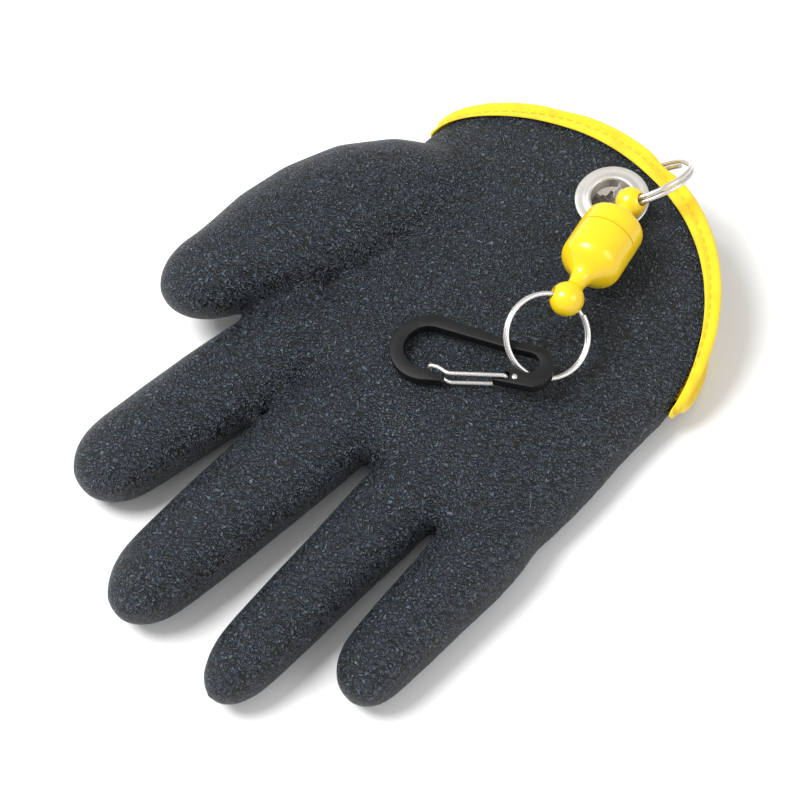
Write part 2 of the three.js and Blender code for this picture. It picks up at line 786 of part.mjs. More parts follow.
// The clip ring in the carabiner's frame: it runs over the spine, down through the small loop and
// under the arm.
const clipRing = (() => {
  const x = direction(clipRingTurn, 0);
  const y = vec(0, 0, 1).cross(x).applyAxisAngle(x, rad(clipRingTilt));
  const centre = vec(clipRingX * smallRadius, clipRingY * smallRadius, 0)
    .addScaledVector(x, -ringRadius * Math.cos(rad(clipRingAt)))
    .addScaledVector(y, -ringRadius * Math.sin(rad(clipRingAt)));
  return { centre, x, y, axis: x.clone().cross(y) };
})();

// The clip hangs by its ring from the lower ball and is tipped by an angle about that ball.
function clipPose(lift) {
  const held = ringPoint(clipRing, rad(lowerRingAngle));
  const u = direction(clipHeading, clipPitch);
  const level = direction(clipHeading + 90, 0);
  const w = u.clone().cross(level);
  const n = level.multiplyScalar(Math.cos(rad(clipRoll))).addScaledVector(w, Math.sin(rad(clipRoll)));
  const laid = new THREE.Matrix4().makeBasis(u, n, u.clone().cross(n));
  const reach = clipRing.centre.clone().sub(held).applyMatrix4(laid);
  const hinge = vec(reach.y, -reach.x, 0).normalize();
  return new THREE.Matrix4().setPosition(lowerCentre)
    .multiply(new THREE.Matrix4().makeRotationAxis(hinge, rad(lift)))
    .multiply(laid)
    .multiply(new THREE.Matrix4().makeTranslation(-held.x, -held.y, -held.z));
}

// Low points of the clip and its ring, with the gate shut, half open and open.
function clipPoints(matrix) {
  const low = -clipThickness / 2 - gap - gateWire;
  const points = clipOutline().getPoints(6).map((point) => vec(point.x, point.y, -clipThickness / 2));
  for (const share of [0, 0.5, 1]) {
    gatePath().forEach((point) => points.push(turnGate(vec(point.x, point.y, low), share * gateAngle)));
  }
  const world = points.map((point) => point.applyMatrix4(matrix));
  for (let i = 0; i < ringSteps; i += 1) {
    for (const side of [-coilPitch / 2, coilPitch / 2]) {
      const point = ringPoint(clipRing, (2 * Math.PI * i) / ringSteps).addScaledVector(clipRing.axis, side);
      world.push(point.applyMatrix4(matrix).sub(vec(0, 0, ringWire / 2)));
    }
  }
  return world;
}

const clipMatrix = clipPose(settle((lift) => clipPoints(clipPose(lift)), -25, 25));
const clipRingPlaced = (() => {
  const turn = new THREE.Matrix4().extractRotation(clipMatrix);
  return {
    centre: clipRing.centre.clone().applyMatrix4(clipMatrix),
    x: clipRing.x.clone().applyMatrix4(turn),
    y: clipRing.y.clone().applyMatrix4(turn),
    axis: clipRing.axis.clone().applyMatrix4(turn),
  };
})();

function clipBodyGeometry() {
  const bevel = 0.1 * clipThickness;
  const plate = new THREE.ExtrudeGeometry(clipOutline(), {
    depth: clipThickness - 2 * bevel,
    bevelThickness: bevel,
    bevelSize: bevel,
    bevelOffset: -bevel,
    bevelSegments: 1,
    curveSegments: 9,
  });
  plate.translate(0, 0, bevel - clipThickness / 2);
  const bore = gateWire / 2 + gap;
  const drill = (x, y, from, to) => solidOf(new THREE.CylinderGeometry(bore, bore, to - from, holeSides)
    .rotateX(Math.PI / 2).translate(x, y, (from + to) / 2));
  const half = clipThickness / 2;
  let body = solidOf(plate).subtract(drill(pivot.x, pivot.y, -2 * half, 2 * half));
  for (const share of [0, 1 / 3, 2 / 3, 1]) {
    const angle = rad(slotAngle - share * gateAngle);
    const x = pivot.x + slotRadius * Math.cos(angle);
    const y = pivot.y + slotRadius * Math.sin(angle);
    body = body.subtract(drill(x, y, half - slotDepth, 2 * half));
  }
  return geometryOf(body);
}

const colours = {
  latex: { color: 0x2a2f36, roughness: 0.75, metalness: 0 },
  binding: { color: 0xf6d80c, roughness: 0.7, metalness: 0 },
  connector: { color: 0xf2cc08, roughness: 0.25, metalness: 0 },
  nickel: { color: 0xcfcac2, roughness: 0.28, metalness: 1 },
  steel: { color: 0xc8c6c2, roughness: 0.25, metalness: 1 },
  anodised: { color: 0x121214, roughness: 0.4, metalness: 0.5 },
};

const group = new THREE.Group();

function add(name, geometry, finish, matrix) {
  const mesh = new THREE.Mesh(geometry, new THREE.MeshStandardMaterial(colours[finish]));
  mesh.name = name;
  if (matrix) mesh.applyMatrix4(matrix);
  group.add(mesh);
}

add('glove_shell', shellGeometry(), 'latex');
add('cuff_binding', bindingGeometry(), 'binding');
add('grommet', grommetGeometry(), 'nickel');
add('cuff_split_ring', splitRingGeometry(cuffRingTurn, ringFrame(cuffRing)), 'steel');
add('magnet_upper_half', magnetGeometry(upperHalfProfile(), cuffRing, upperAngle), 'connector');
const lowerTurn = rad(lowerRingAngle);
add('magnet_lower_half', magnetGeometry(lowerHalfProfile(), clipRingPlaced, lowerTurn), 'connector');
add('clip_split_ring', splitRingGeometry(clipRingStart, ringFrame(clipRing)), 'steel', clipMatrix);
add('carabiner_body', clipBodyGeometry(), 'anodised', clipMatrix);
add('carabiner_gate', wire(gatePath(), gateWire / 2, wireSides + 2), 'steel', clipMatrix);

export default group;
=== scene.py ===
import json
import math

import bmesh
import bpy
from mathutils import Matrix, Quaternion, Vector
from mathutils.bvhtree import BVHTree
from mathutils.kdtree import KDTree

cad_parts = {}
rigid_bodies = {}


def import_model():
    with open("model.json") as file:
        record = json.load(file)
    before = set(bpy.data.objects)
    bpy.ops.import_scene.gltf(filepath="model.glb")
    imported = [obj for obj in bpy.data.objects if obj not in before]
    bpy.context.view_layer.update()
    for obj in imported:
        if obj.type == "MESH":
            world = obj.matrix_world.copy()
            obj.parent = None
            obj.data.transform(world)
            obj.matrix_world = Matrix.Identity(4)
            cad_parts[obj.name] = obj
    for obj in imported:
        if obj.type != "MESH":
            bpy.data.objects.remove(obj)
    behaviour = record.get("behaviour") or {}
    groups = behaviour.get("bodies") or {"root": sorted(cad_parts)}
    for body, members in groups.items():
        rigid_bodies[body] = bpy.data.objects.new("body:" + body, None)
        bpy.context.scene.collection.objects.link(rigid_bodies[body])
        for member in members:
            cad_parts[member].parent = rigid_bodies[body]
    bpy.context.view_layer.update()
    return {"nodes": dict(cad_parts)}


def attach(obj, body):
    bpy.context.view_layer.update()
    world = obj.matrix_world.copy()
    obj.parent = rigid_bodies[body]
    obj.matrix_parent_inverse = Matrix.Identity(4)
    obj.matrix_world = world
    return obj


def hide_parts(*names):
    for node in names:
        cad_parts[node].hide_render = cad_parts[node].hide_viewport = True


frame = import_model()
nodes = frame["nodes"]
mm = 0.001
print("stage: frame loaded")


# Shader maths: a wire is one output socket, and arithmetic on it adds Math nodes.
class Wire:
    def __init__(self, paint, socket):
        self.paint = paint
        self.socket = socket

    def math(self, operation, other):
        return self.paint.math(operation, self, other)

    def __add__(self, other):
        return self.math("ADD", other)

    def __sub__(self, other):
        return self.math("SUBTRACT", other)

    def __mul__(self, other):
        return self.math("MULTIPLY", other)

    def smallest(self, other):
        return self.math("MINIMUM", other)


class Paint:
    def __init__(self, name, **settings):
        self.material = bpy.data.materials.new(name)
        self.material.use_nodes = True
        self.tree = self.material.node_tree
        self.shader = self.tree.nodes["Principled BSDF"]
        for key, value in settings.items():
            self.feed(self.shader.inputs[key], value)

    def node(self, kind, settings=None, sockets=None, output=0):
        made = self.tree.nodes.new(kind)
        for key, value in (settings or {}).items():
            if key == "stops":
                self.fillRamp(made.color_ramp, value)
            else:
                setattr(made, key, value)
        for key, value in (sockets or {}).items():
            self.feed(made.inputs[key], value)
        return Wire(self, made.outputs[output])

    def math(self, operation, first, second=0.0):
        return self.node("ShaderNodeMath", {"operation": operation}, {0: first, 1: second})

    def feed(self, socket, value):
        if isinstance(value, Wire):
            self.tree.links.new(value.socket, socket)
        else:
            socket.default_value = value

    def fillRamp(self, ramp, stops):
        ramp.elements[0].position, ramp.elements[0].color = stops[0][0], (*stops[0][1], 1)
        ramp.elements[1].position, ramp.elements[1].color = stops[-1][0], (*stops[-1][1], 1)
        for place, colour in stops[1:-1]:
            ramp.elements.new(place).color = (*colour, 1)

    # Object coordinates in millimetres
    def place(self):
        coords = self.node("ShaderNodeTexCoord", output=3)
        return self.node("ShaderNodeVectorMath", {"operation": "SCALE"}, {0: coords, "Scale": 1 / mm})

    def noise(self, at, size, detail=2.0, roughness=0.5):
        return self.node("ShaderNodeTexNoise", {"noise_dimensions": "3D"}, {
            "Vector": at, "Scale": 1 / size, "Detail": detail, "Roughness": roughness})

    def split(self, vector):
        return [self.node("ShaderNodeSeparateXYZ", sockets={0: vector}, output=i) for i in range(3)]

    # Two colours mixed by a share
    def mix(self, share, low, high):
        return self.node("ShaderNodeMix", {"data_type": "RGBA"}, {
            0: share, 6: (*low, 1), 7: (*high, 1)}, output=2)

    def ramp(self, share, stops):
        return self.node("ShaderNodeValToRGB", {"stops": stops}, {"Fac": share})

    # A bump of this depth in millimetres
    def bump(self, height, depth):
        return self.node("ShaderNodeBump", sockets={"Height": height, "Strength": 1.0, "Distance": depth * mm})

    def set(self, **inputs):
        for key, value in inputs.items():
            self.feed(self.shader.inputs[key.replace("_", " ")], value)
        return self.material


# Mesh helpers. Points nearer than this, in millimetres, are one point.
joining = {"solid": 0.002, "curve": 0.004}


def deselectAll():
    if bpy.context.object and bpy.context.object.mode != "OBJECT":
        bpy.ops.object.mode_set(mode="OBJECT")
    bpy.ops.object.select_all(action="DESELECT")


def pick(piece):
    deselectAll()
    piece.select_set(True)
    bpy.context.view_layer.objects.active = piece


def linked(name, data):
    piece = bpy.data.objects.new(name, data)
    bpy.context.collection.objects.link(piece)
    pick(piece)
    return piece


# A copy of a solid where it stands
def copyOf(node, name):
    source = nodes[node]
    piece = linked(name, source.data.copy())
    piece.data.transform(source.matrix_world)
    return piece


def joinPoints(threshold):
    bpy.ops.mesh.select_all(action="SELECT")
    bpy.ops.mesh.remove_doubles(threshold=threshold * mm)


# Joins the active mesh's points that lie together and turns its faces outward
def weld(threshold):
    bpy.ops.object.mode_set(mode="EDIT")
    joinPoints(threshold)
    bpy.ops.mesh.normals_make_consistent(inside=False)
    bpy.ops.object.mode_set(mode="OBJECT")


def modify(piece, kind, **settings):
    pick(piece)
    modifier = piece.modifiers.new(kind.lower(), kind)
    for key, value in settings.items():
        setattr(modifier, key, value)
    bpy.ops.object.modifier_apply(modifier=modifier.name)


# Puts a piece made at the origin where its frame stands, and leaves the object itself at the origin.
def settleAt(piece, place, turn):
    pick(piece)
    piece.matrix_world = Matrix.Translation(Vector(place) * mm) @ Quaternion(turn).to_matrix().to_4x4()
    applyPlace()


def smoothShade(piece, angle=None):
    pick(piece)
    if angle is None:
        bpy.ops.object.shade_smooth()
    else:
        bpy.ops.object.shade_smooth_by_angle(angle=math.radians(angle))


def dress(piece, paint, body, slot, *replaced):
    piece.data.materials.clear()
    piece.data.materials.append(paint)
    if replaced:
        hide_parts(*replaced)
    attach(piece, body)


# A profile of radius and height pairs, in millimetres, spun round Z
def spun(name, profile, steps):
    mesh = bpy.data.meshes.new(name)
    edges = [(i, i + 1) for i in range(len(profile) - 1)]
    mesh.from_pydata([(r * mm, 0, h * mm) for r, h in profile], edges, [])
    piece = linked(name, mesh)
    bpy.ops.object.mode_set(mode="EDIT")
    bpy.ops.mesh.select_all(action="SELECT")
    bpy.ops.mesh.spin(steps=steps, angle=2 * math.pi, center=(0, 0, 0), axis=(0, 0, 1))
    bpy.ops.object.mode_set(mode="OBJECT")
    weld(joining["solid"])
    return piece


def meshOfCurve(name, curve):
    linked(name, curve)
    bpy.ops.object.convert(target="MESH")
    weld(joining["curve"])
    return bpy.context.object


# A round wire along points in millimetres, its corners rounded by a smooth curve
def wirePiece(name, points, radius, sides):
    curve = bpy.data.curves.new(name, "CURVE")
    curve.dimensions = "3D"
    curve.bevel_depth = radius * mm
    curve.bevel_resolution = sides
    curve.use_fill_caps = True
    spline = curve.splines.new("POLY")
    spline.points.add(len(points) - 1)
    for point, place in zip(spline.points, points):
        point.co = (*(Vector(place) * mm), 1)
    return meshOfCurve(name, curve)


# Points of a polyline rounded at its corners
def rounded(points, radius, steps=5):
    points = [Vector(p) for p in points]
    path = [points[0]]
    for before, corner, after in zip(points, points[1:], points[2:]):
        into, out = before - corner, after - corner
        reach = min(radius, into.length / 2.2, out.length / 2.2)
        start, end = corner + into.normalized() * reach, corner + out.normalized() * reach
        for i in range(steps + 1):
            t = i / steps
            path.append(start.lerp(corner, t).lerp(corner.lerp(end, t), t))
    path.append(points[-1])
    return path


def cylinder(sides, radius, height, middle=(0, 0, 0)):
    deselectAll()
    bpy.ops.mesh.primitive_cylinder_add(vertices=sides, radius=radius * mm, depth=height * mm,
                                        location=[c * mm for c in middle])
    return bpy.context.object


def applyPlace():
    bpy.ops.object.transform_apply(location=True, rotation=True, scale=True)


def cutBy(piece, cutter):
    modify(piece, "BOOLEAN", operation="DIFFERENCE", object=cutter, solver="EXACT")
    bpy.data.objects.remove(cutter, do_unlink=True)


# The camera stands where the photograph was taken from
camera = {
    "azimuth": -128, "elevation": 58, "distance": 700, "lens": 107.1, "sensor": 36, "right": 11.76,
    "near": 0.01, "far": 20,
}


def placeCamera():
    azimuth, elevation = math.radians(camera["azimuth"]), math.radians(camera["elevation"])
    ahead = Vector((-math.sin(azimuth) * math.cos(elevation), math.cos(azimuth) * math.cos(elevation),
                    -math.sin(elevation)))
    right = ahead.cross(Vector((0, 0, 1))).normalized()
    up = right.cross(ahead)
    data = bpy.data.cameras.new("camera")
    data.lens = camera["lens"]
    data.sensor_width = camera["sensor"]
    data.sensor_fit = "HORIZONTAL"
    data.clip_start = camera["near"]
    data.clip_end = camera["far"]
    eye = linked("camera", data)
    place = (-ahead * camera["distance"] - right * camera["right"]) * mm
    eye.matrix_world = Matrix.Translation(place) @ Matrix((right, up, -ahead)).transposed().to_4x4()
    bpy.context.scene.camera = eye


placeCamera()


# Eyelet: a wide flange, a rolled lip and a tube down through the skin
eyelet = {
    "at": (11.694, -74.312, 24.752), "turn": (0.997731, -0.067315, -0.001042, 0.000070),
    "hole": 6.3, "tube": 7.1, "rim": 11.25, "curl": 7.5, "back": -2.3, "seat": 0.3, "sheet": 0.8, "lip": 1.2,
    "round": 0.42, "steps": 96, "colour": (0.74, 0.72, 0.68), "rough": 0.34, "metallic": 0.75,
}


# The latex skin: the solid's outside, remeshed so that the fingers run softly into the palm
skin = {
    "start": (0, -20, 22), "level": 0.9, "sharp": 62,
    "voxel": 1.25, "smoothing": 26, "swell": 0.38, "wall": 1.8,
    "capTrim": 1.3, "hemTrim": 1.6, "tuck": 0.7, "tuckReach": 7.5,
    "holeRadius": 7.36, "holeDepth": 9.0, "holeSides": 64,
}


# Faces linked to the palm's top without passing a sharp edge
def outsideOfShell():
    piece = copyOf("glove_shell", "gloveSkin")
    bpy.ops.object.mode_set(mode="EDIT")
    bpy.ops.mesh.select_mode(type="FACE")
    joinPoints(joining["solid"])
    bpy.ops.mesh.select_all(action="DESELECT")
    form = bmesh.from_edit_mesh(piece.data)
    for edge in form.edges:
        edge.smooth = edge.calc_face_angle_signed(0) < math.radians(skin["sharp"])
    start = Vector(skin["start"]) * mm
    upward = [face for face in form.faces if face.normal.z > skin["level"]]
    first = min(upward, key=lambda face: (face.calc_center_median() - start).length)
    first.select_set(True)
    form.faces.active = first
    bmesh.update_edit_mesh(piece.data)
    bpy.ops.mesh.select_linked(delimit={"SHARP"})
    bpy.ops.mesh.select_all(action="INVERT")
    bpy.ops.mesh.delete(type="FACE")
    bpy.ops.object.mode_set(mode="OBJECT")
    return piece


# Closes the mouth and the holes, since the remesh needs a closed form. Returns their loops, the mouth's first.
def capHoles(piece):
    pick(piece)
    before = len(piece.data.polygons)
    outward = {tuple(v.co): v.normal.copy() for v in piece.data.vertices}
    bpy.ops.object.mode_set(mode="EDIT")
    bpy.ops.mesh.select_mode(type="EDGE")
    bpy.ops.mesh.select_all(action="DESELECT")
    bpy.ops.mesh.select_non_manifold()
    bpy.ops.mesh.fill_holes(sides=0)
    bpy.ops.object.mode_set(mode="OBJECT")
    mesh = piece.data
    caps = [[mesh.vertices[i].co.copy() for i in face.vertices] for face in mesh.polygons[before:]]
    normals = [[outward[tuple(point)] for point in cap] for cap in sorted(caps, key=len, reverse=True)]
    caps.sort(key=len, reverse=True)
    bpy.ops.object.mode_set(mode="EDIT")
    bpy.ops.mesh.select_mode(type="FACE")
    bpy.ops.mesh.select_all(action="DESELECT")
    bpy.ops.object.mode_set(mode="OBJECT")
    for face in mesh.polygons:
        face.select = face.index >= before
    bpy.ops.object.mode_set(mode="EDIT")
    bpy.ops.mesh.poke()
    bpy.ops.object.mode_set(mode="OBJECT")
    return caps, normals


# The mouth's cap as a fan of faces
def treeOf(loop):
    centre = sum(loop, Vector()) / len(loop)
    points = [*loop, centre]
    last = len(loop)
    return BVHTree.FromPolygons(points, [(i, (i + 1) % last, last) for i in range(last)])


# The hem's line as close points, to measure distances from
def lineTree(loop, steps=12):
    tree = KDTree(len(loop) * steps)
    for i, point in enumerate(loop):
        for k in range(steps):
            tree.insert(point.lerp(loop[(i + 1) % len(loop)], k / steps), i * steps + k)
    tree.balance()
    return tree


# The mouth's cap and a strip along the hem are cut away, and what is left is tucked in under the binding
def makeSkin():
    piece = outsideOfShell()
    caps, normals = capHoles(piece)
    hem, hemNormals = caps[0], normals[0]
    print("stage: skin outside", len(piece.data.polygons), "loops", [len(cap) for cap in caps])
    piece.data.remesh_voxel_size = skin["voxel"] * mm
    piece.data.remesh_voxel_adaptivity = 0
    bpy.ops.object.voxel_remesh()
    modify(piece, "SMOOTH", factor=0.5, iterations=skin["smoothing"])
    modify(piece, "DISPLACE", strength=skin["swell"] * mm, mid_level=0.0, direction="NORMAL")
    mouth, line = treeOf(hem), lineTree(hem)
    for face in piece.data.polygons:
        face.select = (mouth.find_nearest(face.center, skin["capTrim"] * mm)[0] is not None
                       or line.find(face.center)[2] < skin["hemTrim"] * mm)
    for vertex in piece.data.vertices:
        far = line.find(vertex.co)[2] / (skin["tuckReach"] * mm)
        if far < 1:
            vertex.co -= vertex.normal * skin["tuck"] * mm * (1 - far ** 2)
    bpy.ops.object.mode_set(mode="EDIT")
    bpy.ops.mesh.select_mode(type="FACE")
    bpy.ops.mesh.delete(type="FACE")
    bpy.ops.object.mode_set(mode="OBJECT")
    return piece, hem, hemNormals


skinPiece, hemLoop, hemNormals = makeSkin()
print("stage: skin remeshed", len(skinPiece.data.polygons))


# Crinkled latex: short winding grooves close together, painted dark as shade inside each groove, with a painted
# highlight as a light ridge along each side
latex = {
    "sizes": (1.5, 1.3), "offset": (40, 13, 7), "width": 0.25, "warp": 0.6, "warpSize": 1.5, "depth": 1.0,
    "rough": 0.46, "specular": 0.4, "grain": 0.4, "grainShare": 0.1,
    "heights": ((0.0, 0.0), (0.12, 0.05), (0.34, 1.0), (0.7, 0.55), (1.0, 0.6)),
    "grooveShadeRidgeHighlight": ((0.0, (0.0006, 0.0009, 0.0014)), (0.16, (0.0012, 0.0019, 0.003)), (0.36, (0.085, 0.112, 0.142)),
              (0.6, (0.016, 0.023, 0.033)), (1.0, (0.018, 0.026, 0.037))),
}


def latexPaint():
    paint = Paint("crinkledLatex", Roughness=latex["rough"])
    paint.shader.inputs["Specular IOR Level"].default_value = latex["specular"]
    at = paint.place()
    bend = paint.node("ShaderNodeTexNoise", {"noise_dimensions": "3D"}, {
        "Vector": at, "Scale": 1 / latex["warpSize"], "Detail": 0.0}, output=1)
    moved = paint.node("ShaderNodeVectorMath", {"operation": "MULTIPLY_ADD"}, {
        0: bend, 1: (2 * latex["warp"],) * 3, 2: at})
    beside = paint.node("ShaderNodeVectorMath", {"operation": "ADD"}, {0: moved, 1: latex["offset"]})
    first, second = [paint.noise(spot, size, 0.0) for spot, size in zip((moved, beside), latex["sizes"])]
    line = paint.math("ABSOLUTE", first - 0.5).smallest(paint.math("ABSOLUTE", second - 0.5))
    grain = paint.noise(at, latex["grain"]) * latex["grainShare"]
    away = line * (1 / latex["width"]) + grain - latex["grainShare"] / 2
    height = paint.ramp(away, [(k, (v, v, v)) for k, v in latex["heights"]])
    # The colour ramp paints shade into the grooves and a highlight along their ridges, over the latex's own
    # blue-grey
    return paint.set(Base_Color=paint.ramp(away, latex["grooveShadeRidgeHighlight"]), Normal=paint.bump(height, latex["depth"]))


# The eyelet's hole through the upper layer
def punch():
    cutter = cylinder(skin["holeSides"], skin["holeRadius"], skin["holeDepth"])
    settleAt(cutter, eyelet["at"], eyelet["turn"])
    cutBy(skinPiece, cutter)


# Light grey knit on the inside, painted darker as shade in the hollows between its loops
liner = {"yarn": (0.62, 0.61, 0.58), "paintedShade": (0.34, 0.33, 0.31), "pitch": 1.3, "depth": 0.25, "rough": 0.9}


def linerPaint():
    paint = Paint("linerKnit", Roughness=liner["rough"])
    x, y, z = paint.split(paint.place())
    turn = 2 * math.pi / liner["pitch"]
    rows = paint.math("SINE", y * turn) * 0.5 + 0.5
    wales = paint.math("SINE", (x + z) * turn) * 0.5 + 0.5
    loops = rows * 0.5 + wales * 0.5
    # The ramp paints shade into the hollows between the loops, where the bump is low
    tint = paint.ramp(loops, [(0.0, liner["paintedShade"]), (1.0, liner["yarn"])])
    return paint.set(Base_Color=tint, Normal=paint.bump(loops, liner["depth"]))


dress(skinPiece, latexPaint(), "glove", "latex", "glove_shell")
skinPiece.data.materials.append(linerPaint())
modify(skinPiece, "SOLIDIFY", thickness=skin["wall"] * mm, offset=-1.0, material_offset=1)
punch()
smoothShade(skinPiece)
print("stage: latex skin done", len(skinPiece.data.polygons))


# Binding tape: the solid's fold, rounded, with a sewn groove and a row of stitches
binding = {
    "tape": (0.87, 0.62, 0.005), "shade": (0.72, 0.42, 0.002), "thread": (0.78, 0.48, 0.003),
    "rowAt": 2.3, "lift": 1.5, "groove": 0.75, "grooveWidth": 0.85, "puff": 0.5, "puffReach": 1.7,
    "stitch": 2.2, "between": 0.8, "threadRadius": 0.26, "threadLift": 0.04, "rayFrom": 5.0,
    "tracing": 0.8, "levels": 3, "rough": 0.78, "sheen": 0.25, "weave": 0.55, "shadeMottleSize": 6.0, "depth": 0.06,
    "shares": (0.9, 0.12, 0.12), "stops": (0.2, 0.62),
    "pinchAt": (9.3, -95.4, 26.6), "pinch": 1.4, "pinchReach": 4.5,
    "kinkAt": (47.0, -86.0, 25.0), "kink": 0.7, "kinkReach": 6.0,
}


def bindingPaint(name, light, paintedShade):
    paint = Paint(name, Roughness=binding["rough"])
    paint.shader.inputs["Sheen Weight"].default_value = binding["sheen"]
    at = paint.place()
    x, y, z = paint.split(at)
    turn = 2 * math.pi / binding["weave"]
    threads = paint.math("SINE", (x + y) * turn) * paint.math("SINE", (x - y + z) * turn)
    mottle = paint.noise(at, binding["shadeMottleSize"], 3.0)
    shadeMottleShare, threadShare, base = binding["shares"]
    # Painted shade: tape and thread are mixed towards their painted shade colour where the noise mottle and the
    # weave dip, the same places where the bump is low
    share = mottle * shadeMottleShare + threads * threadShare + base
    tint = paint.ramp(share, list(zip(binding["stops"], (paintedShade, light))))
    return paint.set(Base_Color=tint, Normal=paint.bump(threads * 0.5 + mottle, binding["depth"]))


# The stitches' row beside the hem, each point with the way out of the skin
def hemStitchPath():
    count = len(hemLoop)
    centre = sum(hemLoop, Vector()) / count
    path = []
    for i, point in enumerate(hemLoop):
        along = (hemLoop[(i + 1) % count] - hemLoop[i - 1]).normalized()
        outward = (hemNormals[i] - along * hemNormals[i].dot(along)).normalized()
        inward = outward.cross(along)
        if inward.y < 0:
            inward = -inward
        path.append((point + inward * binding["rowAt"] * mm, outward))
    return path


# Places at an even spacing along a smooth closed curve through the path's points
def evenly(path, spacing, steps=24):
    points = []
    for i, (start, startOut) in enumerate(path):
        end, endOut = path[(i + 1) % len(path)]
        before, after = path[i - 1][0], path[(i + 2) % len(path)][0]
        for k in range(steps):
            t = k / steps
            smooth = 0.5 * (2 * start + (end - before) * t + (2 * before - 5 * start + 4 * end - after) * t ** 2
                            + (3 * start - before - 3 * end + after) * t ** 3)
            points.append((smooth, startOut.lerp(endOut, t)))
    lengths = [0.0]
    for (a, _), (b, _) in zip(points, points[1:] + points[:1]):
        lengths.append(lengths[-1] + (b - a).length)
    total = round(lengths[-1] / spacing)
    picked, k = [], 0
    for i in range(total):
        goal = lengths[-1] * i / total
        while lengths[k + 1] < goal:
            k += 1
        picked.append(points[k % len(points)])
    return picked


def liftedTree(places):
    tree = KDTree(len(places))
    for i, (point, outward) in enumerate(places):
        tree.insert(point + outward * binding["lift"] * mm, i)
    tree.balance()
    return tree


def shapeBinding():
    piece = copyOf("cuff_binding", "cuffBinding")
    bpy.ops.object.mode_set(mode="EDIT")
    joinPoints(joining["solid"])
    bpy.ops.mesh.tris_convert_to_quads(face_threshold=math.radians(60), shape_threshold=math.radians(80))
    bpy.ops.object.mode_set(mode="OBJECT")
    modify(piece, "SUBSURF", levels=binding["levels"], render_levels=binding["levels"])
    path = hemStitchPath()
    row = evenly(path, binding["tracing"] * mm)
    tree = liftedTree(row)
    edge = liftedTree(evenly(list(zip(hemLoop, [outward for _, outward in path])), binding["tracing"] * mm))
    pinchAt, kinkAt = Vector(binding["pinchAt"]) * mm, Vector(binding["kinkAt"]) * mm
    for vertex in piece.data.vertices:
        _, i, far = tree.find(vertex.co)
        outward = row[i][1]
        groove = math.exp(-(far / (binding["grooveWidth"] * mm)) ** 2)
        puff = math.exp(-(edge.find(vertex.co)[2] / (binding["puffReach"] * mm)) ** 2)
        pull = math.exp(-((vertex.co - pinchAt).length / (binding["pinchReach"] * mm)) ** 2)
        kink = math.exp(-((vertex.co - kinkAt).length / (binding["kinkReach"] * mm)) ** 2)
        vertex.co += outward * (puff * binding["puff"] - groove * binding["groove"]) * mm
        vertex.co.y += (pull * binding["pinch"] + kink * binding["kink"]) * mm
    smoothShade(piece)
    return piece, path


def makeStitches(piece, path):
    tree = BVHTree.FromObject(piece, bpy.context.evaluated_depsgraph_get())
    spots = evenly(path, (binding["stitch"] + binding["between"]) * mm)
    deselectAll()
    bpy.ops.mesh.primitive_uv_sphere_add(segments=8, ring_count=6, radius=binding["threadRadius"] * mm)
    model = bpy.context.object
    model.data.transform(Matrix.Scale(binding["stitch"] / (2 * binding["threadRadius"]), 4, (0, 0, 1)))
    copies = []
    for i, (point, outward) in enumerate(spots):
        ahead = (spots[(i + 1) % len(spots)][0] - spots[i - 1][0]).normalized()
        hit = tree.ray_cast(point + outward * binding["rayFrom"] * mm, -outward)[0]
        if hit is None:
            continue
        side = outward.cross(ahead).normalized()
        turn = Matrix((side, ahead.cross(side), ahead)).transposed().to_4x4()
        copy = model.data.copy()
        copy.transform(Matrix.Translation(hit + outward * binding["threadLift"] * mm) @ turn)
        stitch = bpy.data.objects.new("stitch", copy)
        bpy.context.collection.objects.link(stitch)
        copies.append(stitch)
    bpy.data.objects.remove(model, do_unlink=True)
    deselectAll()
    for stitch in copies:
        stitch.select_set(True)
    bpy.context.view_layer.objects.active = copies[0]
    bpy.ops.object.join()
    row = bpy.context.object
    row.name = "bindingStitches"
    smoothShade(row)
    return row


bindingPiece, stitchPath = shapeBinding()
tapePaint = bindingPaint("bindingTape", binding["tape"], binding["shade"])
dress(bindingPiece, tapePaint, "glove", "binding", "cuff_binding")
stitchPiece = makeStitches(bindingPiece, stitchPath)
threadPaint = bindingPaint("stitchThread", binding["thread"], binding["shade"])
dress(stitchPiece, threadPaint, "glove", "binding")
print("stage: binding and stitches", len(bindingPiece.data.polygons), len(stitchPiece.data.polygons))


# Arc of a profile: centre radius and height, arc radius, and two angles in degrees
def arc(at, height, radius, start, end, steps):
    turns = [math.radians(start + (end - start) * i / steps) for i in range(steps + 1)]
    return [(max(at + radius * math.cos(t), 0), height + radius * math.sin(t)) for t in turns]


def softProfile(pairs, radius, steps=4):
    return [(p.x, p.y) for p in rounded([(r, h, 0) for r, h in pairs], radius, steps)]


# Plated metal with faint smears and fine scratches
metal = {
    "smear": 3.0, "grain": 0.25, "shade": 0.86, "smearRough": 0.12, "grainRough": 0.06, "below": 0.08,
    "grainHeight": 0.4, "depth": 0.02,
}


def metalPaint(name, colour, rough, metallic):
    paint = Paint(name, Metallic=metallic)
    at = paint.place()
    smear = paint.noise(at, metal["smear"], 3.0)
    grain = paint.noise(at, metal["grain"], 2.0)
    tint = paint.mix(smear, [c * metal["shade"] for c in colour], colour)
    uneven = smear * metal["smearRough"] + grain * metal["grainRough"]
    return paint.set(Base_Color=tint, Roughness=uneven + (rough - metal["below"]),
                     Normal=paint.bump(grain * metal["grainHeight"] + smear, metal["depth"]))


